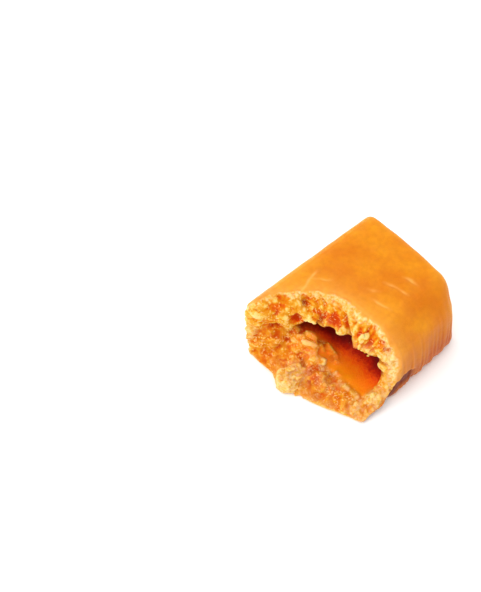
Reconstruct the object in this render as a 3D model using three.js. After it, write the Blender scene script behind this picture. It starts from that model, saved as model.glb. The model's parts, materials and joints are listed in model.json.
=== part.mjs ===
// Half of a torn caramel: a small soft block of grainy cream caramel that was pulled apart by hand.
// Millimetres. X runs across the block, Y along it with the moulded end at +Y, and Z is up.
// The origin is the middle of the resting face. Seen from the torn end, +X is on the right.

import * as THREE from 'three';
import { ImprovedNoise } from 'three/addons/math/ImprovedNoise.js';

// Driving dimensions of the moulded block.
const HEIGHT = 12.6;
const END_Y = 12.2; // the moulded end, measured from the middle of the block
const END_SLANT = 2.3; // the end face runs back by this much towards the right at its top
const FOOT_SLANT = 1.0; // and by this much at its foot
const LEFT_AT_END = 10.0; // half widths, left and right of the middle line
const LEFT_AT_TEAR = 11.1;
const RIGHT_AT_END = 9.8;
const RIGHT_AT_TEAR = 10.2;
const RIGHT_LEAN = 1.6; // how far the right wall leans in at its top
const RIGHT_BELLY = 0.6; // how far it swells at mid height, at the moulded end
const BELLY_FADE = 0.6; // share of that swelling lost at the tear
const LEFT_TUCK = 1.0; // how far the left wall draws in at its foot
const CROWN = 0.25; // rise of the top over a flat one
const CROWN_FROM = 0.7; // the crown starts at this share of the height

// Rounded long edges, seen from the torn end.
const RADIUS_FOOT_RIGHT = 1.6;
const RADIUS_TOP_RIGHT = 4.2;
const RADIUS_TOP_LEFT = 1.8;
const RADIUS_FOOT_LEFT = 2.0;

// Rounded edges of the moulded end.
const RADIUS_END = 1.0;
const RADIUS_END_RIGHT = 3.4;

// Where things lie round the block, in turns from the middle of the base, counter-clockwise.
const TURN = {
  shelfCorner: [0, 0.17],
  rightFoot: [0.158, 0.192],
  rightWall: [0.18, 0.27],
  rightEnd: [0.13, 0.2, 0.3, 0.37],
  topLeft: [0.47, 0.65],
  leftSide: [0.54, 0.74, 0.8, 0.98],
  footCrumb: [0.955, 0.028],
};

// The torn rim: forward along the base and the left wall, set back under the top and the right wall.
const TEAR_FRONT_Y = -13.2;
const TOP_SETBACK = 10.5;
const SETBACK_CURVE = 2.5; // how late and steeply the rim turns forward at the top's left
const FOOT_LIP = 1.2; // the right wall's foot reaches this much further forward than its top
const SHELF_CUT = 2.9; // the base's front right corner is rounded back by this much
const CRUMB_REACH = 1.5; // a large crumb at the foot of the tear reaches this much further forward
const LIP_ROLL = 0.35; // the skin's edge is rolled over by this much

// The crumbly torn face.
const CRUMB_SIZE = 1.9;
const CRUMB_RISE = 0.5;
const GRAIN_SHIFT = 5; // the second grain is taken this far from the first
const ROUGH_FROM = 0.25; // shares of the way from the rim to the hollow
const LUMPS_FROM = 0.1;
const TEAR_BULGE = 0.4;
const LEFT_BULGE = 0.9; // the left side of the tear swells more

// The hollow, an air pocket in the middle of the block.
const HOLLOW_BACK = new THREE.Vector3(0.9, -0.4, 5.0);
const HOLLOW_FLARE = 0.35; // how far the pocket widens just behind its mouth
const HOLLOW_BOWL = 2.6; // how full its shape is: 2 is an ellipse
const HOLLOW_PLUNGE = 1.6; // how soon its walls run back
const FLARE_END = 0.7; // shares of the way from the mouth to the back
const CRUMBS_END = 0.35;

// How finely the surface is divided.
const AROUND = 104;
const ROWS_END_FACE = 3;
const ROWS_END_EDGE = 4;
const ROWS_WALL = 9;
const ROWS_TEAR = 14;
const ROWS_HOLLOW = 9;
const NEIGHBOUR = 2; // columns to either side that give the way across the tear
const SMALLEST_RADIUS = 0.2;

const CARAMEL = { color: 0xf39a32, roughness: 0.42, metalness: 0 };

const mix = THREE.MathUtils.lerp;
const smooth = THREE.MathUtils.smoothstep;
const plateau = (turn, [from, full, fade, to]) => smooth(turn, from, full) * (1 - smooth(turn, fade, to));
const noise = new ImprovedNoise();

// The mouth of the hollow, counter-clockwise from the middle of its floor.
const mouth = new THREE.CatmullRomCurve3([
  new THREE.Vector3(1.2, -7.7, 2.5),
  new THREE.Vector3(5.4, -7.9, 2.3),
  new THREE.Vector3(7.8, -6.4, 2.6),
  new THREE.Vector3(7.0, -4.2, 5.6),
  new THREE.Vector3(5.2, -4.6, 7.6),
  new THREE.Vector3(2.0, -4.6, 7.7),
  new THREE.Vector3(-2.0, -5.3, 7.4),
  new THREE.Vector3(-6.0, -6.2, 6.4),
  new THREE.Vector3(-4.8, -6.9, 4.8),
  new THREE.Vector3(-2.0, -7.5, 3.2),
], true, 'centripetal');

// Large crumbs that stand out of the torn face: middle, radius and rise.
const LUMPS = [
  { middle: new THREE.Vector3(-4.0, -7.4, 4.6), radius: 1.7, rise: 1.5 }, // beside the hollow
  { middle: new THREE.Vector3(-1.2, -8.6, 2.8), radius: 1.1, rise: 0.7 }, // on the floor's edge
  { middle: new THREE.Vector3(4.9, -4.6, 8.2), radius: 1.4, rise: 0.8 }, // over the hollow
  { middle: new THREE.Vector3(-2.9, -13.3, 0.9), radius: 1.5, rise: 1.5 }, // at the front, low down
  { middle: new THREE.Vector3(-9.6, -11.6, 9.6), radius: 2.0, rise: 0.5 }, // on the left shoulder
  { middle: new THREE.Vector3(8.9, -5.4, 1.4), radius: 1.1, rise: 0.8 }, // at the right wall's foot
];

// The block's outline across Y as four straight sides and four quarter rounds, counter-clockwise
// from the middle of the base. Each station says where it lies between the block's own edges.
function outlineStations() {
  const width = LEFT_AT_TEAR + RIGHT_AT_TEAR;
  const quarter = Math.PI / 2;
  const corner = (sideX, sideZ, radius, start) => ({ sideX, sideZ, radius, start, length: radius * quarter });
  const side = (length) => ({ length });
  const runs = [
    side(RIGHT_AT_TEAR - RADIUS_FOOT_RIGHT),
    corner(1, -1, RADIUS_FOOT_RIGHT, -quarter),
    side(HEIGHT - RADIUS_FOOT_RIGHT - RADIUS_TOP_RIGHT),
    corner(1, 1, RADIUS_TOP_RIGHT, 0),
    side(width - RADIUS_TOP_RIGHT - RADIUS_TOP_LEFT),
    corner(-1, 1, RADIUS_TOP_LEFT, quarter),
    side(HEIGHT - RADIUS_TOP_LEFT - RADIUS_FOOT_LEFT),
    corner(-1, -1, RADIUS_FOOT_LEFT, 2 * quarter),
    side(LEFT_AT_TEAR - RADIUS_FOOT_LEFT),
  ];
  const total = runs.reduce((sum, run) => sum + run.length, 0);
  return Array.from({ length: AROUND }, (_, j) => {
    let along = (j / AROUND) * total;
    let index = 0;
    while (along > runs[index].length) {
      along -= runs[index].length;
      index += 1;
    }
    return { turn: j / AROUND, index, part: along / runs[index].length, runs };
  });
}

// One point of the outline, for the given half widths, drawn in by an inset on every side.
function outlinePoint(station, left, right, inset) {
  const { runs, index, part } = station;
  const cornerPoint = (run, share) => {
    const radius = Math.max(run.radius - inset, SMALLEST_RADIUS);
    const angle = run.start + (share * Math.PI) / 2;
    const x = run.sideX > 0 ? right - inset - radius : -left + inset + radius;
    const z = run.sideZ > 0 ? HEIGHT - inset - radius : inset + radius;
    return new THREE.Vector2(x + radius * Math.cos(angle), z + radius * Math.sin(angle));
  };
  if (runs[index].radius) {
    return cornerPoint(runs[index], part);
  }
  const middleOfBase = new THREE.Vector2(0, inset);
  const from = index > 0 ? cornerPoint(runs[index - 1], 1) : middleOfBase;
  const to = index < runs.length - 1 ? cornerPoint(runs[index + 1], 0) : middleOfBase;
  return from.lerp(to, part);
}

// A point on the moulded skin at a given Y: the outline with the walls' lean, tuck and crown.
function skinPoint(station, y, inset) {
  const toTear = THREE.MathUtils.clamp((END_Y - y) / (END_Y - TEAR_FRONT_Y), 0, 1);
  const left = mix(LEFT_AT_END, LEFT_AT_TEAR, toTear);
  const right = mix(RIGHT_AT_END, RIGHT_AT_TEAR, toTear);
  const flat = outlinePoint(station, left, right, inset);
  const height = flat.y / HEIGHT;
  const across = flat.x / (flat.x > 0 ? right : left);
  const lean = flat.x > 0 ? RIGHT_LEAN * height * height * across : 0;
  const swell = RIGHT_BELLY * Math.sin(Math.PI * height) * (1 - BELLY_FADE * toTear);
  const belly = flat.x > 0 ? swell * across : 0;
  const tuck = flat.x < 0 ? LEFT_TUCK * (1 - height) ** 2 * -across * toTear : 0;
  const crown = CROWN * (1 - across * across) * smooth(height, CROWN_FROM, 1);
  const fromLeft = (flat.x + left) / (left + right);
  const slant = mix(FOOT_SLANT, END_SLANT, height) * (1 - toTear) * fromLeft;
  return new THREE.Vector3(flat.x - lean + belly + tuck, y - slant, flat.y + crown);
}

// Where the torn rim lies along Y, for a turn counted from the middle of the base.
function rimY(turn) {
  const wallFoot = smooth(turn, ...TURN.rightFoot);
  const wallTop = smooth(turn, ...TURN.rightWall);
  const [topLeftFrom, topLeftTo] = TURN.topLeft;
  const leftOfTop = THREE.MathUtils.clamp((turn - topLeftFrom) / (topLeftTo - topLeftFrom), 0, 1);
  const setback = wallFoot * (1 - leftOfTop ** SETBACK_CURVE);
  const shelfCorner = smooth(turn, ...TURN.shelfCorner) * (1 - wallFoot);
  const lip = FOOT_LIP * (1 - wallTop) * wallFoot;
  const [crumbTurn, crumbWidth] = TURN.footCrumb;
  const crumb = CRUMB_REACH * Math.exp(-(((turn - crumbTurn) / crumbWidth) ** 2));
  return TEAR_FRONT_Y + TOP_SETBACK * setback + SHELF_CUT * shelfCorner - lip - crumb;
}

// Radius of the moulded end's edge: larger where it meets the right wall.
function endRadius(turn) {
  return mix(RADIUS_END, RADIUS_END_RIGHT, plateau(turn, TURN.rightEnd));
}

// Crumbs: a rough relief that starts inside the rim, and the large lumps that start close to it.
function crumbRise(point, share) {
  const p = point.clone().divideScalar(CRUMB_SIZE);
  const grain = noise.noise(p.x, p.y, p.z) * 2 - Math.abs(noise.noise(p.z, p.x + GRAIN_SHIFT, p.y));
  const lumps = LUMPS.reduce((sum, lump) => {
    const reach = point.distanceTo(lump.middle) / lump.radius;
    return sum + lump.rise * Math.exp(-(reach ** 2));
  }, 0);
  return CRUMB_RISE * grain * smooth(share, 0, ROUGH_FROM) + lumps * smooth(share, 0, LUMPS_FROM);
}

// The torn face between one point of the rim and the lip of the hollow, with its way outwards.
function tearPoint(rim, lip, outward, turn, share) {
  const point = rim.clone().lerp(lip, share);
  const bulge = (TEAR_BULGE + LEFT_BULGE * plateau(turn, TURN.leftSide)) * Math.sin(Math.PI * share);
  return point.addScaledVector(outward, bulge + crumbRise(point, share));
}

// The way out of the torn face along one line from the rim to the lip.
function tearOutward(rims, lips, j) {
  const before = (j + AROUND - NEIGHBOUR) % AROUND;
  const after = (j + NEIGHBOUR) % AROUND;
  const around = rims[after].clone().sub(rims[before]).add(lips[after]).sub(lips[before]);
  return around.cross(lips[j].clone().sub(rims[j])).normalize();
}

// The hollow behind one point of its lip; crumbs on the lip fade out on the smooth wall behind it.
function hollowPoint(lip, lipOutward, share) {
  const bowl = Math.sqrt(1 - share ** HOLLOW_BOWL);
  const point = HOLLOW_BACK.clone().lerp(lip, bowl);
  point.y = mix(lip.y, HOLLOW_BACK.y, 1 - (1 - share) ** HOLLOW_PLUNGE);
  const flare = HOLLOW_FLARE * Math.sin(Math.PI * Math.min(share / FLARE_END, 1));
  const outward = point.clone().sub(HOLLOW_BACK).setY(0).normalize();
  point.addScaledVector(outward, flare);
  const carried = crumbRise(lip, 1) * (1 - smooth(share, 0, CRUMBS_END));
  return point.addScaledVector(lipOutward, carried);
}

function middleOf(points) {
  const sum = points.reduce((total, point) => total.add(point), new THREE.Vector3());
  return sum.divideScalar(points.length);
}

// Every row goes once round the block: end face, end edge, walls, rolled lip, torn face, hollow.
function surfaceRows() {
  const stations = outlineStations();
  const rows = [];
  const addRow = (pointAt) => rows.push(stations.map(pointAt));

  const endEdge = stations.map((station) => skinPoint(station, END_Y, endRadius(station.turn)));
  const endMiddle = middleOf(endEdge);
  for (let i = 1; i <= ROWS_END_FACE; i += 1) {
    const share = i / (ROWS_END_FACE + 1);
    addRow((_, j) => endMiddle.clone().lerp(endEdge[j], share));
  }
  for (let i = 0; i <= ROWS_END_EDGE; i += 1) {
    const angle = (i / ROWS_END_EDGE) * (Math.PI / 2);
    addRow((station) => {
      const radius = endRadius(station.turn);
      const y = END_Y - radius * (1 - Math.cos(angle));
      return skinPoint(station, y, radius * (1 - Math.sin(angle)));
    });
  }
  for (let i = 1; i <= ROWS_WALL; i += 1) {
    addRow((station) => {
      const from = END_Y - endRadius(station.turn);
      const to = rimY(station.turn) + LIP_ROLL;
      return skinPoint(station, mix(from, to, i / ROWS_WALL), 0);
    });
  }
  const rims = stations.map((station) => skinPoint(station, rimY(station.turn), LIP_ROLL));
  const lips = stations.map((station) => mouth.getPoint(station.turn));
  const outward = stations.map((_, j) => tearOutward(rims, lips, j));
  for (let i = 0; i <= ROWS_TEAR; i += 1) {
    addRow(({ turn }, j) => tearPoint(rims[j], lips[j], outward[j], turn, i / ROWS_TEAR));
  }
  for (let i = 1; i <= ROWS_HOLLOW; i += 1) {
    addRow((_, j) => hollowPoint(lips[j], outward[j], i / (ROWS_HOLLOW + 1)));
  }
  return rows;
}

// The rows joined into one closed surface, with a point at the middle of each end.
function closedSurface(rows) {
  const points = [middleOf(rows[0]), ...rows.flat(), HOLLOW_BACK.clone()];
  const last = points.length - 1;
  const at = (row, j) => 1 + row * AROUND + (j % AROUND);
  const faces = [];
  for (let j = 0; j < AROUND; j += 1) {
    faces.push(0, at(0, j + 1), at(0, j));
    for (let row = 0; row < rows.length - 1; row += 1) {
      faces.push(at(row, j), at(row, j + 1), at(row + 1, j));
      faces.push(at(row, j + 1), at(row + 1, j + 1), at(row + 1, j));
    }
    faces.push(at(rows.length - 1, j), at(rows.length - 1, j + 1), last);
  }
  const geometry = new THREE.BufferGeometry().setFromPoints(points);
  geometry.setIndex(faces);
  return geometry;
}

// The origin at the middle of the resting face.
function standOnOrigin(geometry) {
  geometry.computeBoundingBox();
  const middle = geometry.boundingBox.getCenter(new THREE.Vector3());
  geometry.translate(-middle.x, -middle.y, -geometry.boundingBox.min.z);
  geometry.computeVertexNormals();
  return geometry;
}

function caramelHalf() {
  const material = new THREE.MeshStandardMaterial(CARAMEL);
  const mesh = new THREE.Mesh(standOnOrigin(closedSurface(surfaceRows())), material);
  mesh.name = 'caramel_half';
  return mesh;
}

const candy = new THREE.Group();
candy.add(caramelHalf());

export default candy;
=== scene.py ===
"""Looks of a torn caramel half: a smooth moulded skin, a crumbly torn end and a soft hollow in it.

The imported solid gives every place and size. Its mesh is copied, crumbs are grown on its torn end,
and the two are melted into one closed surface, which is then worked over like real caramel.
Shapes are worked out in millimetres and turned to metres at the very end.
"""

import json
import math

import bmesh
import bpy
import numpy as np
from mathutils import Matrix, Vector
from mathutils.bvhtree import BVHTree
from mathutils.kdtree import KDTree


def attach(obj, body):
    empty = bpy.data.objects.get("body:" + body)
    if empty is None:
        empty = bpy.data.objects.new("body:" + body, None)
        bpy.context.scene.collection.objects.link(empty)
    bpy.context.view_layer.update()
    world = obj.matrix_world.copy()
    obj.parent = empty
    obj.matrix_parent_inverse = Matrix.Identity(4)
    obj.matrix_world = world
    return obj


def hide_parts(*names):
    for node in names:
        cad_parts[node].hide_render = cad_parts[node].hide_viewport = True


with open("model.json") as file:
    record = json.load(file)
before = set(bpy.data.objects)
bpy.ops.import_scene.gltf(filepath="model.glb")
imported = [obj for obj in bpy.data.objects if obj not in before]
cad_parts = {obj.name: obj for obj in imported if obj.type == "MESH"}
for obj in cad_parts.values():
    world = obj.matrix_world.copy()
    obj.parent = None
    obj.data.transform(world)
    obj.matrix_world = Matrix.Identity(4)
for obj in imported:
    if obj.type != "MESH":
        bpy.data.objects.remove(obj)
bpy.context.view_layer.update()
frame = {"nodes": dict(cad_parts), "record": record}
NODE = "caramel_half"
MM = 0.001
SEED = 7

# Camera: a 70 mm lens close above the torn right corner, with the candy right of and below the middle.
# Distances are in metres.
AZIMUTH = math.radians(45)
ELEVATION = math.radians(52)
LENS_MM = 70
REACH = 0.1723
ASIDE = 0.0166
BELOW = 0.0076
NEAR_CLIP = 0.01


# ---------------------------------------------------------------- camera, floor and light

def place_camera():
    right = Vector((math.cos(AZIMUTH), math.sin(AZIMUTH), 0))
    ahead = Vector((-math.sin(AZIMUTH) * math.cos(ELEVATION),
                    math.cos(AZIMUTH) * math.cos(ELEVATION), -math.sin(ELEVATION)))
    up = right.cross(ahead)
    camera = bpy.data.objects.new("camera", bpy.data.cameras.new("camera"))
    camera.data.lens = LENS_MM
    camera.data.clip_start = NEAR_CLIP
    camera.location = up * BELOW - right * ASIDE - ahead * REACH
    camera.rotation_euler = (math.pi / 2 - ELEVATION, 0, AZIMUTH)
    bpy.context.scene.collection.objects.link(camera)
    bpy.context.scene.camera = camera


place_camera()


def linear(code):
    """The linear colour of an sRGB hex value, with alpha 1."""
    values = [int(code[i:i + 2], 16) / 255 for i in (1, 3, 5)]
    return [v / 12.92 if v <= 0.04045 else ((v + 0.055) / 1.055) ** 2.4 for v in values] + [1.0]


def add_node(tree, kind, inputs=None, **settings):
    """Adds a shader node with its settings; an input is a value or another node's output."""
    made = tree.nodes.new(kind)
    for name, value in settings.items():
        setattr(made, name, value)
    for key, value in (inputs or {}).items():
        if isinstance(value, bpy.types.NodeSocket):
            tree.links.new(value, made.inputs[key])
        else:
            made.inputs[key].default_value = value
    return made


def mix(tree, amount, first, second):
    """One colour laid over another by an amount from 0 to 1."""
    return add_node(tree, "ShaderNodeMix", {0: amount, 6: first, 7: second}, data_type="RGBA").outputs[2]


def new_material(name):
    material = bpy.data.materials.new(name)
    material.use_nodes = True
    material.node_tree.nodes.clear()
    return material, material.node_tree


def finish_material(tree, shader):
    add_node(tree, "ShaderNodeOutputMaterial", {"Surface": shader.outputs[0]})


FLOOR_HALF_WIDTH = 1.5
CLOUDS_PER_METRE = 9.0


def white_card():
    """Matt white card, smooth to the eye, with the faintest cloudiness in its tone."""
    material, tree = new_material("white_card")
    place = add_node(tree, "ShaderNodeTexCoord").outputs["Object"]
    cloud = add_node(tree, "ShaderNodeTexNoise", {"Vector": place, "Scale": CLOUDS_PER_METRE})
    tone = mix(tree, cloud.outputs["Fac"], linear("#F9F9F8"), linear("#FCFCFB"))
    shader = add_node(tree, "ShaderNodeBsdfPrincipled", {"Base Color": tone, "Roughness": 0.8})
    finish_material(tree, shader)
    return material


def lay_floor():
    mesh = bpy.data.meshes.new("floor")
    half = FLOOR_HALF_WIDTH
    corners = [(-half, -half, 0), (half, -half, 0), (half, half, 0), (-half, half, 0)]
    mesh.from_pydata(corners, [], [(0, 1, 2, 3)])
    floor = bpy.data.objects.new("floor", mesh)
    bpy.context.scene.collection.objects.link(floor)
    mesh.materials.append(white_card())


# Soft boxes round the candy: place and width in metres, power in watts.
SOFT_BOXES = {
    "overhead": ((0.03, -0.12, 0.42), 0.26, 0.7),
    "torn_end": ((-0.14, -0.48, 0.26), 0.24, 0.8),
    "left": ((-0.50, 0.06, 0.16), 0.20, 0.8),
}
ROOM_BRIGHTNESS = 0.95


def soft_light(name, place, size, power):
    """A square soft box that faces the candy."""
    light = bpy.data.lights.new(name, "AREA")
    light.size = size
    light.energy = power
    lamp = bpy.data.objects.new(name, light)
    lamp.location = place
    lamp.rotation_euler = (-Vector(place)).to_track_quat("-Z", "Y").to_euler()
    bpy.context.scene.collection.objects.link(lamp)


def light_studio():
    """A bright white room with a soft box overhead and one each at the torn end and the left."""
    for name, (place, size, power) in SOFT_BOXES.items():
        soft_light(name, place, size, power)
    world = bpy.data.worlds.new("studio")
    world.use_nodes = True
    background = world.node_tree.nodes["Background"]
    background.inputs["Color"].default_value = linear("#FFFFFF")
    background.inputs["Strength"].default_value = ROOM_BRIGHTNESS
    bpy.context.scene.world = world
    bpy.context.scene.view_settings.view_transform = "Standard"


lay_floor()
light_studio()


# ---------------------------------------------------------------- reading the solid

def mesh_points(mesh):
    points = np.empty(len(mesh.vertices) * 3, np.float32)
    mesh.vertices.foreach_get("co", points)
    return points.reshape(-1, 3).astype(float)


def mesh_normals(mesh):
    normals = np.empty(len(mesh.vertices) * 3, np.float32)
    mesh.vertices.foreach_get("normal", normals)
    return normals.reshape(-1, 3).astype(float)


def mesh_edges(mesh):
    edges = np.empty(len(mesh.edges) * 2, np.int32)
    mesh.edges.foreach_get("vertices", edges)
    return edges.reshape(-1, 2)


def mesh_triangles(mesh):
    mesh.calc_loop_triangles()
    triangles = np.empty(len(mesh.loop_triangles) * 3, np.int32)
    mesh.loop_triangles.foreach_get("vertices", triangles)
    return triangles.reshape(-1, 3)


def smooth_step(values, low, high):
    t = np.clip((values - low) / (high - low), 0, 1)
    return t * t * (3 - 2 * t)


SOLID = frame["nodes"][NODE].data
SOLID_POINTS = mesh_points(SOLID) / MM
SOLID_TRIANGLES = mesh_triangles(SOLID)
SOLID_TREE = BVHTree.FromPolygons(SOLID_POINTS.tolist(), SOLID_TRIANGLES.tolist())
LOW, HIGH = SOLID_POINTS.min(0), SOLID_POINTS.max(0)
HOLLOW_LOW, HOLLOW_HIGH = np.array(frame["record"]["physics"]["openings"][0]["box_m"]) / MM
HOLLOW = (HOLLOW_LOW + HOLLOW_HIGH) / 2

# Two cross-sections where the block is whole, and the height of the line they are measured from.
AXIS_Z = HIGH[2] / 2
WHOLE_FAR_Y = 6.5
WHOLE_NEAR_Y = 1.0
DIRECTIONS = 720
OUTSIDE = 30.0

# The skin gives way to torn caramel between these depths, and all of it lies short of these places.
SKIN_DEPTH = (0.14, 0.38)
TEAR_END_Y = (2.0, 3.0)


def measure_outline(y):
    """The skin's distance from the block's middle line, all the way round one cross-section."""
    radii = []
    for turn in np.arange(DIRECTIONS) * 2 * math.pi / DIRECTIONS:
        way = Vector((math.cos(turn), 0, math.sin(turn)))
        start = Vector((0, y, AXIS_Z)) + way * OUTSIDE
        reach = SOLID_TREE.ray_cast(start, -way)[3]
        radii.append(OUTSIDE - reach)
    return np.array(radii)


OUTLINE_FAR = measure_outline(WHOLE_FAR_Y)
OUTLINE_NEAR = measure_outline(WHOLE_NEAR_Y)


def depth_in_mould(points):
    """How far inside the whole block's skin each point lies, with the walls carried on past the tear."""
    turn = np.arctan2(points[:, 2] - AXIS_Z, points[:, 0]) % (2 * math.pi)
    place = turn / (2 * math.pi) * DIRECTIONS
    at = np.floor(place).astype(int) % DIRECTIONS
    share = place - np.floor(place)
    far = OUTLINE_FAR[at] * (1 - share) + OUTLINE_FAR[(at + 1) % DIRECTIONS] * share
    near = OUTLINE_NEAR[at] * (1 - share) + OUTLINE_NEAR[(at + 1) % DIRECTIONS] * share
    toward_tear = (WHOLE_FAR_Y - points[:, 1]) / (WHOLE_FAR_Y - WHOLE_NEAR_Y)
    skin = far + (near - far) * toward_tear
    return skin - np.hypot(points[:, 0], points[:, 2] - AXIS_Z)


def tornness(points):
    """0 on the moulded skin, 1 on the torn face and in the hollow."""
    below_skin = smooth_step(depth_in_mould(points), *SKIN_DEPTH)
    return below_skin * (1 - smooth_step(points[:, 1], *TEAR_END_Y))


# How closed in each corner of the solid is, told by this many looks outward from just above it.
LOOKS = 40
LOOK_SPREAD = 0.98
LOOK_FROM = 0.05


def look_around():
    """The share of looks outward from each corner of the solid that meet the solid again."""
    rng = np.random.default_rng(SEED)
    looks = rng.normal(size=(LOOKS, 3))
    looks /= np.linalg.norm(looks, axis=1)[:, None]
    blocked = np.zeros(len(SOLID_POINTS))
    for i, (point, normal) in enumerate(zip(SOLID_POINTS, mesh_normals(SOLID))):
        start = Vector(point + normal * LOOK_FROM)
        hits = [SOLID_TREE.ray_cast(start, Vector(normal + look * LOOK_SPREAD))[0] for look in looks]
        blocked[i] = sum(hit is not None for hit in hits)
    return blocked / LOOKS


def search_tree(points):
    tree = KDTree(len(points))
    for i, point in enumerate(points):
        tree.insert(point, i)
    tree.balance()
    return tree


NEIGHBOURS = 3
LEAST_REACH = 0.05


def blend_from(tree, values, points):
    """Values known at a tree's points, blended onto other points from the nearest few."""
    blended = np.empty(len(points))
    for i, point in enumerate(points):
        found = tree.find_n(point, NEIGHBOURS)
        weights = [1 / (reach + LEAST_REACH) for _, _, reach in found]
        blended[i] = sum(w * values[at] for w, (_, at, _) in zip(weights, found)) / sum(weights)
    return blended


CORNER_TREE = search_tree(SOLID_POINTS)
CORNER_CLOSED = look_around()
TORN_TREE = search_tree(SOLID_POINTS[tornness(SOLID_POINTS) > 0.5])


# ---------------------------------------------------------------- noise and smoothing

LATTICE_SIZE = 32
LATTICE = np.random.default_rng(SEED).uniform(-1, 1, (LATTICE_SIZE,) * 3)


def lattice_noise(places):
    """Rounded noise from -1 to 1, with bumps about one unit across."""
    base = np.floor(places).astype(int)
    share = places - base
    share = share * share * (3 - 2 * share)
    total = np.zeros(len(places))
    for corner in np.ndindex(2, 2, 2):
        weight = np.prod(np.where(corner, share, 1 - share), axis=1)
        x, y, z = ((base + corner) % LATTICE_SIZE).T
        total += weight * LATTICE[x, y, z]
    return total


def ironed(values, edges, rounds):
    """Rows of values with small bumps ironed out: each round goes halfway to the neighbours' middle."""
    count = np.bincount(edges.ravel(), minlength=len(values))[:, None]
    here, there = np.concatenate([edges, edges[:, ::-1]]).T
    for _ in range(rounds):
        total = np.stack([np.bincount(here, column[there], len(values)) for column in values.T], 1)
        values = (values + total / count) / 2
    return values


# ---------------------------------------------------------------- crumbs

# Crumbs strewn over the torn face: how many, and the range of their half lengths in millimetres.
STREWN = (
    (70, 0.65, 1.00),
    (340, 0.30, 0.62),
    (3200, 0.13, 0.29),
)

# Larger lumps left standing: how far each is from the hollow's middle, its half length and its paleness.
LUMPS = {
    "left_of_the_hollow": ((-6.2, -3.3, -0.4), 1.55, 0.1),
    "on_the_left_of_the_floor": ((-4.9, -1.8, -2.0), 0.60, 0.0),
    "hanging_in_the_middle": ((-2.0, 0.0, 3.8), 0.60, 0.0),
    "hanging_from_the_roof": ((1.2, 0.1, 4.2), 1.05, 0.0),
    "hanging_on_the_left": ((-6.2, -1.8, 4.4), 0.95, 0.0),
    "forward_tail": ((-5.0, -8.9, -3.4), 1.35, 1.0),
    "behind_the_tail": ((-4.7, -7.0, -3.0), 1.10, 0.8),
    "by_the_foot": ((6.2, -2.3, -2.8), 0.80, 1.0),
    "left_corner": ((-12.7, -8.2, 1.5), 0.55, 1.0),
    "left_of_the_floor": ((-5.2, -3.4, -1.7), 0.60, 0.6),
    "on_the_floor_edge": ((-2.7, -3.0, -2.0), 0.60, 0.7),
    "right_on_the_floor_edge": ((-0.6, -3.2, -2.3), 0.50, 0.8),
    "on_the_low_band": ((-1.2, -5.2, -3.3), 0.60, 0.5),
    "beside_the_pit": ((0.3, -5.0, -3.6), 0.50, 0.5),
    "above_the_front_corner": ((5.2, -4.9, -4.0), 0.70, 0.8),
    "left_on_the_roof_edge": ((-4.7, -1.1, 3.7), 0.50, 0.2),
    "middle_of_the_roof_edge": ((-2.6, -0.1, 3.0), 0.50, 0.2),
    "low_on_the_roof_edge": ((0.1, 0.3, 2.6), 0.60, 0.6),
    "right_on_the_roof_edge": ((2.4, 0.0, 3.1), 0.50, 0.6),
    "first_along_the_floor": ((-4.1, -0.8, -2.2), 0.65, 0.0),
    "second_along_the_floor": ((-3.0, -0.8, -2.7), 0.60, 0.0),
    "third_along_the_floor": ((-1.9, -1.3, -3.0), 0.50, 0.2),
}


# The hollow begins where this share of the looks outward is blocked, and behind this stretch of its front.
HOLLOW_CLOSED = (0.42, 0.58)
HOLLOW_FRONT = (-0.6, 0.3)

# The floor's limits, each from the side of the hollow's box that is nearest.
FLOOR_FRONT = (-0.9, -0.1)
FLOOR_TOP = (0.4, 1.4)
FLOOR_LEFT = (-2.8, -1.8)
FLOOR_RIGHT = (2.2, 2.8)


def within_hollow(points):
    """1 on the hollow's walls, roof and floor, 0 on the torn face round it."""
    blocked = blend_from(CORNER_TREE, CORNER_CLOSED, points)
    behind_face = smooth_step(points[:, 1] - HOLLOW_LOW[1], *HOLLOW_FRONT)
    closed = smooth_step(blocked, *HOLLOW_CLOSED) * behind_face
    return np.maximum(closed, floor_of_hollow(points)) * tornness(points)


def floor_of_hollow(points):
    """1 on the smooth floor that runs out of the hollow to its front edge."""
    over_front = smooth_step(points[:, 1] - HOLLOW_LOW[1], *FLOOR_FRONT)
    low = 1 - smooth_step(points[:, 2] - HOLLOW_LOW[2], *FLOOR_TOP)
    right_of_left = smooth_step(points[:, 0] - HOLLOW_LOW[0], *FLOOR_LEFT)
    left_of_wall = 1 - smooth_step(points[:, 0] - HOLLOW_HIGH[0], *FLOOR_RIGHT)
    return over_front * low * right_of_left * left_of_wall


def ball_shape():
    ball = bmesh.new()
    bmesh.ops.create_icosphere(ball, subdivisions=2, radius=1)
    points = np.array([v.co[:] for v in ball.verts])
    faces = np.array([[v.index for v in f.verts] for f in ball.faces])
    ball.free()
    return points, faces


# A crumb's length and width over its radius, and the unevenness of its surface.
CRUMB_LENGTH = (1.1, 2.2)
CRUMB_WIDTH = (0.6, 1.0)
CRUMB_RUFFLE = 0.14


def crumb(ball, place, normal, radius, rng):
    """One uneven crumb, drawn out towards the hollow as the caramel pulled apart."""
    pull = Vector(HOLLOW) - place
    pull = (pull - normal * pull.dot(normal)).normalized()
    turned = np.array((pull, normal.cross(pull), normal))
    stretched = np.array((rng.uniform(*CRUMB_LENGTH), rng.uniform(*CRUMB_WIDTH), rng.uniform(*CRUMB_WIDTH)))
    ruffle = 1 + rng.normal(0, CRUMB_RUFFLE, (len(ball), 1))
    return (ball * ruffle * stretched * radius) @ turned + np.array(place)


# Few crumbs are strewn below this height and in the hollow, but more on the tail at the front.
FOOT_HEIGHT = (0.6, 2.0)
SHARE_AT_FOOT = 0.05
SHARE_IN_HOLLOW = 0.005
TAIL_RADIUS = 2.4
TAIL_SHARE = 1.6

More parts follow.
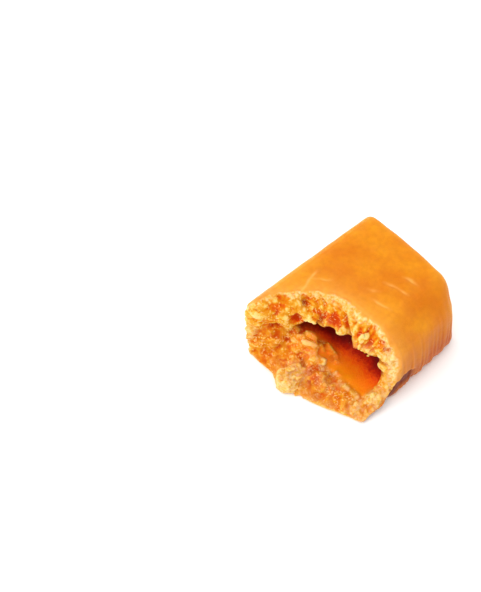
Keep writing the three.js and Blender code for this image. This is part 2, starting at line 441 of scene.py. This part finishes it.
# Small crumbs are commoner than large ones by this power, and sit this deep to this high, in radii.
SMALL_POWER = 1.6
SEAT = (-0.6, 0.1)


def strew_crumbs(ball, rng):
    """Crumbs of the strewn sizes over the torn face, at random places of the solid's triangles."""
    corners = SOLID_POINTS[SOLID_TRIANGLES]
    middles = corners.mean(1)
    across = np.cross(corners[:, 1] - corners[:, 0], corners[:, 2] - corners[:, 0])
    doubled = np.linalg.norm(across, axis=1)
    normals = across / (doubled[:, None] + 1e-12)
    above_foot = smooth_step(middles[:, 2], *FOOT_HEIGHT)
    tail = TAIL_SHARE * near_place(middles, LUMPS["forward_tail"][0], TAIL_RADIUS)
    at_height = SHARE_AT_FOOT + (1 - SHARE_AT_FOOT) * np.maximum(above_foot, tail)
    outside_hollow = 1 - (1 - SHARE_IN_HOLLOW) * within_hollow(middles)
    chance = doubled * (tornness(middles) > 0.5) * outside_hollow * at_height
    chance /= chance.sum()
    grown = []
    for number, small, large in STREWN:
        for face in rng.choice(len(middles), number, p=chance):
            weights = rng.dirichlet((1, 1, 1))
            radius = small + (large - small) * rng.random() ** SMALL_POWER
            normal = Vector(normals[face])
            place = Vector(weights @ corners[face]) + normal * radius * rng.uniform(*SEAT)
            grown.append(crumb(ball, place, normal, radius, rng))
    return grown


# A lump is one large crumb with small ones round it: sizes and places over the lump's half length.
CORE_SIZE = 0.8
CRUMBS_ON_LUMP = 26
SPREAD = 0.45
LIFT = 0.3
CRUMB_SIZES = (0.18, 0.45)


def stand_lumps(ball, rng):
    """The named lumps, each seated on the nearest place of the solid."""
    grown = []
    for offset, radius, _ in LUMPS.values():
        place, normal = SOLID_TREE.find_nearest(Vector(HOLLOW + offset))[:2]
        grown.append(crumb(ball, place, normal, radius * CORE_SIZE, rng))
        for _ in range(CRUMBS_ON_LUMP):
            nudge = Vector(rng.normal(0, SPREAD, 3)) * radius
            size = radius * rng.uniform(*CRUMB_SIZES)
            grown.append(crumb(ball, place + normal * radius * LIFT + nudge, normal, size, rng))
    return grown


def grow_crumbs(rng):
    """All crumbs as one mesh's points and faces."""
    ball_points, ball_faces = ball_shape()
    grown = strew_crumbs(ball_points, rng) + stand_lumps(ball_points, rng)
    faces = np.concatenate([ball_faces + i * len(ball_points) for i in range(len(grown))])
    return keep_in_mould(np.concatenate(grown)), faces


# Crumbs stay this far inside the moulded skin and above the resting face.
UNDER_SKIN = 0.12
OFF_FLOOR = 0.02


def keep_in_mould(points):
    """Draws in what would stand out of the moulded skin or go below the resting face."""
    over = np.clip(UNDER_SKIN - depth_in_mould(points), 0, None)
    radial = points * (1, 0, 1) - (0, 0, AXIS_Z)
    radial /= np.linalg.norm(radial, axis=1)[:, None]
    held = points - radial * over[:, None]
    return np.clip(held, LOW + (0, 0, OFF_FLOOR), HIGH)


# Fineness of the caramel's surface.
VOXEL_MM = 0.165


def melt_together(points, faces):
    """One closed surface round everything that overlaps, as even small squares."""
    mesh = bpy.data.meshes.new("melt")
    mesh.from_pydata(points.tolist(), [], faces.tolist())
    body = bpy.data.objects.new("melt", mesh)
    bpy.context.scene.collection.objects.link(body)
    remesh = body.modifiers.new("melt", "REMESH")
    remesh.mode = "VOXEL"
    remesh.voxel_size = VOXEL_MM
    depsgraph = bpy.context.evaluated_depsgraph_get()
    melted = bpy.data.meshes.new_from_object(body.evaluated_get(depsgraph))
    bpy.data.objects.remove(body)
    return melted


# ---------------------------------------------------------------- working the surface

# Pits torn deeper than the rest: how far each is from the hollow's middle, its radius and its depth.
PITS = (
    ((-10.7, -5.2, 5.9), 0.70, 0.35),
    ((-12.0, -6.2, 5.6), 0.55, 0.30),
    ((-8.3, -3.4, 3.9), 0.80, 0.45),
    ((-3.9, -0.3, 4.5), 0.80, 0.60),
    ((-2.0, -5.3, -2.8), 0.90, 0.35),
    ((-3.4, -5.4, -2.4), 0.70, 0.30),
    ((1.0, -4.9, -3.2), 0.60, 0.25),
)

# Marks on the top, as paths over it in the candy's own frame, with their half width and depth.
DENTS = (
    (((1.4, 3.9), (3.0, 4.5), (5.1, 4.6)), 0.20, 0.13),
    (((2.7, 6.5), (3.6, 6.95), (5.2, 6.8)), 0.18, 0.11),
    (((0.4, 1.4), (1.9, 2.2)), 0.20, 0.10),
    (((1.8, 0.4), (3.4, 0.7), (5.1, 0.9)), 0.40, 0.12),
    (((-5.9, -5.8), (-6.5, -3.8), (-7.0, -2.4), (-7.0, -0.9)), 0.30, 0.10),
    (((-6.8, -2.9), (-5.6, -1.7), (-4.2, -0.9)), 0.30, 0.06),
)


# Upper edge of the painted shadow, a dark hollowed strip low on the right wall: places along the block and
# heights.
FOOT_LINE = ((-9.0, 0.0), (-8.2, 1.2), (-5.6, 1.6), (-4.4, 2.2), (-3.3, 3.3), (-2.6, 4.4), (-1.0, 5.0),
             (0.4, 4.7), (1.8, 3.6))


# How a mark on the top wanders, breaks up and tapers at its ends, in millimetres.
MARK_WANDER = 0.16
MARK_PATCH = 0.9
MARK_BREAK = 0.8
MARK_TAPER = (-0.3, 1.1)


def near_path(points, path, width):
    """1 on a path over the top, fading to 0 beyond the given half width, and broken here and there."""
    nearest = np.full(len(points), np.inf)
    ends = np.array((path[0], path[-1]))
    wander = np.stack([lattice_noise(points / MARK_PATCH + shift) for shift in (2.7, 6.6)], 1)
    flat = points[:, :2] + MARK_WANDER * wander
    for start, end in zip(np.array(path), np.array(path[1:])):
        step = end - start
        share = np.clip((flat - start) @ step / (step @ step), 0, 1)
        nearest = np.minimum(nearest, np.linalg.norm(flat - start - share[:, None] * step, axis=1))
    from_end = np.linalg.norm(flat[:, None] - ends, axis=2).min(1)
    tapered = smooth_step(from_end, *MARK_TAPER)
    broken = np.clip(0.7 + 0.5 * lattice_noise(points / MARK_BREAK + 12.4), 0, 1)
    return np.exp(-(nearest / width) ** 2) * (points[:, 2] > AXIS_Z) * broken * tapered


def near_place(points, offset, radius):
    """1 at a place given from the hollow's middle, fading to 0 beyond the given radius."""
    return np.exp(-(np.linalg.norm(points - HOLLOW - offset, axis=1) / radius) ** 2)


# Ridges on the torn face run towards the hollow: their width, length, depth along the block and
# height, and how far their noise is shifted. They are measured this far from the hollow's middle.
RIDGES = (
    (1.0, 2.6, 1.6, 0.40, 0.0),
    (0.34, 1.1, 0.7, 0.12, 7.3),
)
RIDGES_AT = 5.5
RIDGES_ABOVE = (-1.0, 2.5)

# Rounded grain: its size and height, how far its noise is shifted, and the share lost among the ridges.
GRAINS = (
    (0.9, 0.18, 3.1, 0.6),
    (0.42, 0.08, 11.9, 0.0),
)

# The torn face is smoother along its foot.
SMOOTH_FOOT = (0.3, 1.8)
FOOT_ROUGHNESS = 0.3


def torn_relief(points, loose):
    """Ridges pulled towards the hollow, crumbly grain and pits, in millimetres outward."""
    from_hollow = points - HOLLOW
    around = np.arctan2(from_hollow[:, 2], from_hollow[:, 0]) * RIDGES_AT
    reach = np.hypot(from_hollow[:, 0], from_hollow[:, 2])
    above = smooth_step(from_hollow[:, 2], *RIDGES_ABOVE)
    relief = np.zeros(len(points))
    for width, length, depth, height, shift in RIDGES:
        pulled = np.stack([around / width, reach / length, points[:, 1] / depth], 1)
        relief += height * lattice_noise(pulled + shift) * above
    for size, height, shift, lost in GRAINS:
        relief += height * lattice_noise(points / size + shift) * (1 - lost * above)
    for offset, radius, depth in PITS:
        relief -= depth * near_place(points, offset, radius)
    above_foot = smooth_step(points[:, 2], *SMOOTH_FOOT)
    return relief * loose * (FOOT_ROUGHNESS + (1 - FOOT_ROUGHNESS) * above_foot)


# The skin's waves: their size and height, and how far their noise is shifted.
WAVES = (
    (4.5, 0.10, 5.7),
    (1.6, 0.035, 1.3),
)

# The right wall begins here. Its upright ridges are this big and high, and higher low down.
RIGHT_WALL = (8.6, 9.8)
WALL_RIDGE = (6, 0.42, 7)
WALL_RIDGE_HEIGHT = 0.045
WALL_RIDGE_LOW = 0.055
WALL_LOW = (1.5, 9.0)

# Its foot is scalloped, and the strip of painted shadow on it is hollowed.
SCALLOP = (9, 0.85, 9)
SCALLOP_DEPTH = 0.28
SCALLOP_TOP = (0.5, 3.0)
STRIP_DEPTH = 0.35


def skin_relief(points):
    """Slight waviness all over, ridges and scallops on the right wall and the marks on the top."""
    relief = np.zeros(len(points))
    for size, height, shift in WAVES:
        relief += height * lattice_noise(points / size + shift)
    wall = smooth_step(points[:, 0], *RIGHT_WALL)
    low = 1 - smooth_step(points[:, 2], *WALL_LOW)
    ridge_height = WALL_RIDGE_HEIGHT + WALL_RIDGE_LOW * low
    relief += wall * ridge_height * lattice_noise(points / WALL_RIDGE + 2.2)
    foot = wall * (1 - smooth_step(points[:, 2], *SCALLOP_TOP))
    scallops = smooth_step(lattice_noise(points / SCALLOP + 8.8), -0.3, 0.6)
    relief -= foot * SCALLOP_DEPTH * scallops
    relief -= STRIP_DEPTH * painted_foot_shade(points)
    for path, width, depth in DENTS:
        relief -= depth * near_path(points, path, width)
    return relief


def behind_rim(points):
    """How far each point is from the nearest torn place, in millimetres."""
    return np.array([TORN_TREE.find(point)[2] for point in points])


# The painted shadow strip's edge is ragged by this much; it is full below its edge, fades lower down, and
# is weaker beside the lip.
STRIP_RAGGED = 0.25
STRIP_WALL = (8.6, 9.3)
STRIP_END_Y = (0.2, 1.8)
STRIP_TOP = (-0.05, 0.35)
STRIP_FADE = (2.0, 3.8)
STRIP_PAST_LIP = (-5.0, -3.6)
STRIP_ON_LIP = 0.45
STRIP_LEAST = (0.3, 0.9)


def painted_foot_shade(points):
    """1 on the painted shadow: a dark hollowed strip low on the right wall beside the tear."""
    along, height = np.transpose(FOOT_LINE)
    edge = np.interp(points[:, 1], along, height) + STRIP_RAGGED * lattice_noise(points / 0.9 + 9.7)
    under = edge - points[:, 2]
    strip = smooth_step(under, *STRIP_TOP) * (1 - smooth_step(under, *STRIP_FADE))
    wall = smooth_step(points[:, 0], *STRIP_WALL) * (1 - smooth_step(points[:, 1], *STRIP_END_Y))
    past_lip = STRIP_ON_LIP + (1 - STRIP_ON_LIP) * smooth_step(points[:, 1], *STRIP_PAST_LIP)
    return wall * strip * past_lip * smooth_step(edge, *STRIP_LEAST)


# The hollow's painted shading turns from lit to dark over this stretch, either side of a line across its
# back.
# The line comes forward to the left by its slant, and the dark reaches further at the right and under the
# roof.
LIT_AHEAD = 4.5
DARK_BEHIND = 1.5
LINE_SLANT = 0.55
DARKER_RIGHT = 0.6
DARKER_UP = 2.5
ABOVE_FLOOR = (0.6, 1.8)


def painted_hollow_shade(points):
    """Painted shade in the hollow: 0 at its lit front edge, 1 at its dark back, under its roof and up its
    back wall.
    """
    line = HOLLOW_HIGH[1] - 0.5 - LINE_SLANT * np.clip(HOLLOW_LOW[0] + 0.5 - points[:, 0], 0, None)
    to_right = DARKER_RIGHT * smooth_step(points[:, 0], HOLLOW[0] + 1.0, HOLLOW_HIGH[0] + 0.4)
    up = DARKER_UP * smooth_step(points[:, 2] - HOLLOW_LOW[2], *ABOVE_FLOOR)
    behind = points[:, 1] - line + to_right + up
    return np.clip((behind + LIT_AHEAD) / (LIT_AHEAD + DARK_BEHIND), 0, 1)


# Light from the hollow shines through the lump on its left: the glow's middle, radius and strength.
GLOW_PLACE = (-5.6, -2.6, -0.8)
GLOW_RADIUS = 2.2
GLOW_SHARE = 0.6

# Dense glassy caramel lies left of this stretch, up to this height, and below the hollow's floor.
AMBER_LEFT = (-6.5, -4.0)
AMBER_TOP = (6.0, 9.5)
AMBER_BELOW_FLOOR = (-0.8, 0.6)
AMBER_PATCH = 1.3
TAIL_CLEAR = 2.2


def amberness(points):
    """1 on the dense glassy caramel low on the torn face and down its left side."""
    left = 1 - smooth_step(points[:, 0], *AMBER_LEFT)
    left *= 1 - smooth_step(points[:, 2], *AMBER_TOP)
    low = 1 - smooth_step(points[:, 2] - HOLLOW_LOW[2], *AMBER_BELOW_FLOOR)
    patchy = 0.75 + 0.5 * lattice_noise(points / AMBER_PATCH + 7.9)
    tail = near_place(points, LUMPS["forward_tail"][0], TAIL_CLEAR)
    return np.clip(np.maximum(left, low) * patchy * (1 - tail), 0, 1)


# The pale rim round the tear: its width, what is added at the right of the top and at the right wall,
# and how strong it stays below the hollow.
RIM_WIDTH = 0.8
RIM_WIDER_TOP = 0.6
RIM_WIDER_WALL = 1.0
RIM_FADE = (0.30, 1.0)
RIM_BELOW = 0.35

# The pale crest along the hollow's front edge: how far forward it lies, its half width and strength.
CREST_AHEAD = 1.0
CREST_WIDTH = 0.7
CREST_PALE = 0.55
CREST_TOP = 1.2

# The skin is strained pale close behind the rim, and more faintly further back.
STRAINED_CLOSE = 0.8
STRAINED_FAR = 3.0
STRAINED_FAR_SHARE = 0.45
STRAINED_PALE = 0.55

# A mark's far side is pale, partly scuffed and partly painted highlight: how far across from the mark, its
# half width and its strength.
SCUFF_HIGHLIGHT_ACROSS = 0.18
SCUFF_HIGHLIGHT_WIDTH = 0.2
SCUFF_HIGHLIGHT_PALE = 9


def pale_rim(points, ragged):
    """1 on the torn face close to the skin, weaker below the hollow."""
    above = smooth_step(points[:, 2] - HOLLOW[2], -4.0, 1.0)
    wider_top = RIM_WIDER_TOP * smooth_step(points[:, 0], -5.0, 0.0)
    wider_wall = RIM_WIDER_WALL * smooth_step(points[:, 0], 5.5, 9.0)
    width = RIM_WIDTH + wider_top + wider_wall
    rim = 1 - smooth_step((depth_in_mould(points) + ragged) / width, *RIM_FADE)
    return rim * (RIM_BELOW + (1 - RIM_BELOW) * above)


def pale_crest(points):
    """Broken pale crumbs along the hollow's front edge."""
    crest = np.exp(-((points[:, 1] - HOLLOW_LOW[1] + CREST_AHEAD) / CREST_WIDTH) ** 2)
    crest *= points[:, 2] < HOLLOW_LOW[2] + CREST_TOP
    return CREST_PALE * crest * smooth_step(lattice_noise(points / 0.8 + 6.2), -0.3, 0.5)


def pale_skin(points, ragged):
    """Where the skin is strained behind the rim, and the scuffs with painted highlight beside its marks."""
    back = behind_rim(points)
    strained = np.exp(-back / STRAINED_CLOSE) + STRAINED_FAR_SHARE * np.exp(-back / STRAINED_FAR)
    shifted = points - (0, SCUFF_HIGHLIGHT_ACROSS, 0)
    scuffs_and_highlights = sum(SCUFF_HIGHLIGHT_PALE * depth * near_path(shifted, path, SCUFF_HIGHLIGHT_WIDTH) for path, _, depth in DENTS)
    return STRAINED_PALE * strained * (0.7 + 0.3 * ragged) + scuffs_and_highlights


def creaminess(points, torn):
    """1 where the caramel is pale: the torn rim, the lumps that stand out, scuffs with painted highlight
    and the strained skin.
    """
    ragged = 0.55 * lattice_noise(points / 0.7 + 4.4) + 0.6 * lattice_noise(points / 0.30 + 9.1)
    cream = np.maximum(pale_rim(points, ragged), pale_crest(points))
    for offset, radius, paleness in LUMPS.values():
        cream = np.maximum(cream, paleness * near_place(points, offset, radius * 1.6))
    return np.clip(torn * cream + (1 - torn) * pale_skin(points, ragged), 0, 1)


# Smoothing rounds: the melted surface, the hollow's outline and its walls, and the surfaces that
# fine and coarse crumbs stand out of.
MELT_ROUNDS = 1
OUTLINE_ROUNDS = 20
WALL_ROUNDS = 30
FINE_ROUNDS = 10
COARSE_ROUNDS = 60

# The hollow's walls keep little relief, and stop short of the lumps. Their colour begins where the painted
# shade is deep enough, and leaves out crumbs that stand proud.
WALL_SMOOTHNESS = 0.8
LUMP_CLEAR = 1.2
WALL_GLOOM = (0.45, 0.65)
PROUD = (0.60, 0.80)

# How strongly a point's height over the surface round it tells on its colour: painted shade in crevices and
# pits, painted highlight on what stands out.
FINE_ON_TORN = 2.6
FINE_ON_SKIN = 5.0
COARSE = 0.6
PIT_REACH = 1.3


def save_attribute(mesh, name, values):
    mesh.attributes.new(name, "FLOAT", "POINT").data.foreach_set("value", values.astype(np.float32))


def how_proud(points, normals, edges, torn):
    """0 in the deepest crevices, 0.5 on even ground, 1 on what stands out most."""
    fine = ((points - ironed(points, edges, FINE_ROUNDS)) * normals).sum(1)
    coarse = ((points - ironed(points, edges, COARSE_ROUNDS)) * normals).sum(1)
    pitted = sum(depth * near_place(points, offset, radius * PIT_REACH) for offset, radius, depth in PITS)
    fine_share = FINE_ON_TORN * torn + FINE_ON_SKIN * (1 - torn)
    return np.clip(0.5 + fine_share * fine + COARSE * coarse - pitted, 0, 1)


def save_looks(mesh, points, torn, inside, standing):
    """What the material reads at each point of the surface."""
    # Painted glow on the lump left of the hollow: less painted shade there and more of the hollow's lit
    # orange.
    glow = near_place(points, GLOW_PLACE, GLOW_RADIUS)
    hollow_shade = painted_hollow_shade(points)
    soft_walls = np.maximum(smooth_step(hollow_shade, *WALL_GLOOM), floor_of_hollow(points))
    soft = inside * soft_walls * (1 - smooth_step(standing, *PROUD))
    save_attribute(mesh, "torn", torn)
    save_attribute(mesh, "painted_hollow_shade", hollow_shade * (1 - glow))
    save_attribute(mesh, "inside", np.maximum(soft, GLOW_SHARE * glow))
    save_attribute(mesh, "standing", standing)
    save_attribute(mesh, "cream", creaminess(points, torn))
    save_attribute(mesh, "amber", amberness(points))
    # The painted shadow strip low on the right wall.
    save_attribute(mesh, "foot", painted_foot_shade(points))


def build_caramel():
    """The solid with crumbs melted onto it, its hollow ironed smooth and its surface worked over."""
    crumb_points, crumb_faces = grow_crumbs(np.random.default_rng(SEED))
    mesh = melt_together(np.concatenate([SOLID_POINTS, crumb_points]),
                         np.concatenate([SOLID_TRIANGLES, crumb_faces + len(SOLID_POINTS)]))
    edges = mesh_edges(mesh)
    normals = mesh_normals(mesh)
    points = ironed(mesh_points(mesh), edges, MELT_ROUNDS)
    torn = tornness(points)
    inside = ironed(within_hollow(points)[:, None], edges, OUTLINE_ROUNDS)[:, 0]
    for offset, radius, _ in LUMPS.values():
        inside *= 1 - near_place(points, offset, radius * LUMP_CLEAR)
    points += inside[:, None] * (ironed(points, edges, WALL_ROUNDS) - points)
    relief = torn * torn_relief(points, 1 - WALL_SMOOTHNESS * inside) + (1 - torn) * skin_relief(points)
    points += normals * relief[:, None]
    points[:, 2] = np.clip(points[:, 2], 0, None)
    save_looks(mesh, points, torn, inside, how_proud(points, normals, edges, torn))
    mesh.vertices.foreach_set("co", (points * MM).astype(np.float32).ravel())
    mesh.shade_smooth()
    mesh.update()
    body = bpy.data.objects.new("caramel", mesh)
    bpy.context.scene.collection.objects.link(body)
    return body


# ---------------------------------------------------------------- grainy caramel

def stretch(tree, value, low, high, to_low=0.0, to_high=1.0):
    """Spreads the range low to high over another range."""
    return add_node(tree, "ShaderNodeMapRange", {"Value": value, "From Min": low, "From Max": high,
                                                 "To Min": to_low, "To Max": to_high}).outputs["Result"]


def calculate(tree, operation, *values):
    return add_node(tree, "ShaderNodeMath", dict(enumerate(values)), operation=operation).outputs[0]


def colour_steps(tree, value, steps):
    """A run of colours through the given positions from 0 to 1."""
    ramp = add_node(tree, "ShaderNodeValToRGB", {"Fac": value})
    elements = ramp.color_ramp.elements
    elements.remove(elements[1])
    for i, (position, code) in enumerate(steps):
        element = elements.new(position) if i else elements[0]
        element.position = position
        element.color = linear(code)
    return ramp.outputs["Color"]


def pattern(tree, place, size_mm, detail=2.0):
    """Cloudy noise with features of the given size."""
    return add_node(tree, "ShaderNodeTexNoise", {"Vector": place, "Scale": 1 / (size_mm * MM),
                                                 "Detail": detail}).outputs["Fac"]


SKIN_CLOUD_MM = 5.0
SKIN_MOTTLE_MM = 0.8
WALL_SHADE_X = (8.6 * MM, 10.0 * MM)
WALL_SHADE_Z = (9.5 * MM, 3.5 * MM)


def skin_colour(tree, place, told):
    """Golden skin with soft clouds; painted shade low on the right wall and in dents, painted highlight on
    ridges;
    paler where strained, and beside the marks partly as painted highlight.
    """
    clouds = stretch(tree, pattern(tree, place, SKIN_CLOUD_MM), 0.35, 0.65)
    skin = mix(tree, clouds, linear("#D27802"), linear("#DE900C"))
    mottle = stretch(tree, pattern(tree, place, SKIN_MOTTLE_MM, 4.0), 0.35, 0.65, 0.0, 0.35)
    skin = mix(tree, mottle, skin, linear("#C26802"))
    # Painted shade: the right wall darker low down, where less light falls on it.
    across, _, up = add_node(tree, "ShaderNodeSeparateXYZ", {"Vector": place}).outputs
    wall = calculate(tree, "MULTIPLY", stretch(tree, across, *WALL_SHADE_X),
                     stretch(tree, up, *WALL_SHADE_Z, 0.0, 0.9))
    skin = mix(tree, wall, skin, linear("#AA4402"))
    # Painted shade where the skin sinks, in dents and between the right wall's ridges.
    skin = mix(tree, stretch(tree, told["standing"], 0.5, 0.2, 0.0, 0.35), skin, linear("#B04C04"))
    # Painted highlight where the skin stands up, on the right wall's ridges and the rims of marks.
    skin = mix(tree, stretch(tree, told["standing"], 0.5, 0.9, 0.0, 0.3), skin, linear("#F0AC50"))
    # Pale strained skin, and beside the marks pale scuffs with painted highlight.
    return mix(tree, calculate(tree, "MULTIPLY", told["cream"], 0.8), skin, linear("#F2B85C"))


GRAIN_MM = 0.30
VEIN_MM = 0.9
CRUMB_TONE_MM = 0.45
SUGAR_MM = 0.30
SUGAR_CLUSTER_MM = 1.2


def torn_colour(tree, place, told):
    """Torn grain: painted shade deep orange in crevices, painted highlight pale on crests, with glassy
    stretches and sugar specks.
    """
    grain = stretch(tree, pattern(tree, place, GRAIN_MM), 0.3, 0.7, -0.12, 0.12)
    # The run of colours by height paints shade deep orange into crevices and highlight pale onto crests.
    face = colour_steps(tree, calculate(tree, "ADD", told["standing"], grain), (
        (0.08, "#D04400"), (0.28, "#DC6600"), (0.50, "#DA8A08"), (0.74, "#E4AE3C"), (0.96, "#F0CE82")))
    veins = stretch(tree, pattern(tree, place, VEIN_MM), 0.42, 0.58)
    glassy = mix(tree, veins, linear("#C84C00"), linear("#D68C10"))
    face = mix(tree, calculate(tree, "MULTIPLY", told["amber"], 0.65), face, glassy)
    tone = stretch(tree, pattern(tree, place, CRUMB_TONE_MM), 0.40, 0.62)
    face = mix(tree, told["cream"], face, mix(tree, tone, linear("#E2AC46"), linear("#F0D29A")))
    sugar = stretch(tree, pattern(tree, place, SUGAR_MM, 1.0), 0.54, 0.64, 0.0, 0.6)
    clusters = stretch(tree, pattern(tree, place, SUGAR_CLUSTER_MM, 1.0), 0.44, 0.56)
    return mix(tree, calculate(tree, "MULTIPLY", sugar, clusters), face, linear("#EECE88"))


HOLLOW_MOTTLE_MM = 0.45


def hollow_painted_shading(tree, place, told):
    """The hollow's soft walls: painted light, glowing orange at the front, deepening through painted shade
    to deep red brown at the back.
    """
    mottle = stretch(tree, pattern(tree, place, HOLLOW_MOTTLE_MM), 0.3, 0.7, -0.06, 0.06)
    return colour_steps(tree, calculate(tree, "ADD", told["painted_hollow_shade"], mottle), (
        (0.0, "#FF940C"), (0.25, "#FF7E08"), (0.42, "#FF7208"), (0.55, "#F85A08"), (0.72, "#D0280A"),
        (0.85, "#A8150B"), (0.95, "#860F0B")))


CRYSTAL_MM = 0.16
RIPPLE_MM = 0.7


def sugar_bumps(tree, place, told):
    """Fine crystals, coarser on the torn grain than on the skin, over slight ripples."""
    coarser = calculate(tree, "MULTIPLY_ADD", told["torn"], 0.9, 0.5)
    grit = calculate(tree, "MULTIPLY", pattern(tree, place, CRYSTAL_MM, 3.0), coarser)
    crystals = add_node(tree, "ShaderNodeBump", {"Height": grit, "Strength": 0.7, "Distance": 0.16 * MM})
    return add_node(tree, "ShaderNodeBump", {
        "Height": pattern(tree, place, RIPPLE_MM), "Strength": 0.25, "Distance": 0.06 * MM,
        "Normal": crystals.outputs["Normal"]}).outputs["Normal"]


SATIN_PATCH_MM = 1.2
SATIN = (0.38, 0.52)
DULLER_WHEN_TORN = 0.30


def how_rough(tree, place, told):
    """Satin on the skin and in the hollow, duller on the crumbs."""
    satin = stretch(tree, pattern(tree, place, SATIN_PATCH_MM), 0.3, 0.7, *SATIN)
    crumbly = calculate(tree, "MULTIPLY", told["torn"], calculate(tree, "SUBTRACT", 1.0, told["inside"]))
    return calculate(tree, "MULTIPLY_ADD", crumbly, DULLER_WHEN_TORN, satin)


def grainy_caramel():
    """Soft sugar caramel, pressed in a mould and torn by hand.

    Boiled sugar and butter let light in a short way, which rounds the shading; the moulded skin is satin.
    The torn grain carries painted highlight where it stands up and painted shade, deep orange, where light
    comes out of a crevice.
    """
    material, tree = new_material("grainy_caramel")
    place = add_node(tree, "ShaderNodeTexCoord").outputs["Object"]
    told = {name: add_node(tree, "ShaderNodeAttribute", attribute_name=name).outputs["Fac"]
            for name in ("torn", "painted_hollow_shade", "inside", "standing", "cream", "amber", "foot")}
    # The hollow's walls take painted light and shade in place of the torn colour.
    torn = mix(tree, told["inside"], torn_colour(tree, place, told), hollow_painted_shading(tree, place, told))
    base = mix(tree, told["torn"], skin_colour(tree, place, told), torn)
    # Painted shadow: a dark brown strip low on the right wall, where the wall's foot is in shade.
    base = mix(tree, told["foot"], base, linear("#6E2206"))
    shader = add_node(tree, "ShaderNodeBsdfPrincipled", {
        "Base Color": base,
        "Roughness": how_rough(tree, place, told),
        "Normal": sugar_bumps(tree, place, told),
        "IOR": 1.48,
        "Specular IOR Level": 0.12,
        "Subsurface Weight": 1.0,
        "Subsurface Radius": (1.0, 0.45, 0.20),
        "Subsurface Scale": 0.6 * MM,
    })
    finish_material(tree, shader)
    return material


candy = build_caramel()
candy.data.materials.append(grainy_caramel())
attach(candy, "root")
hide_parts(NODE)
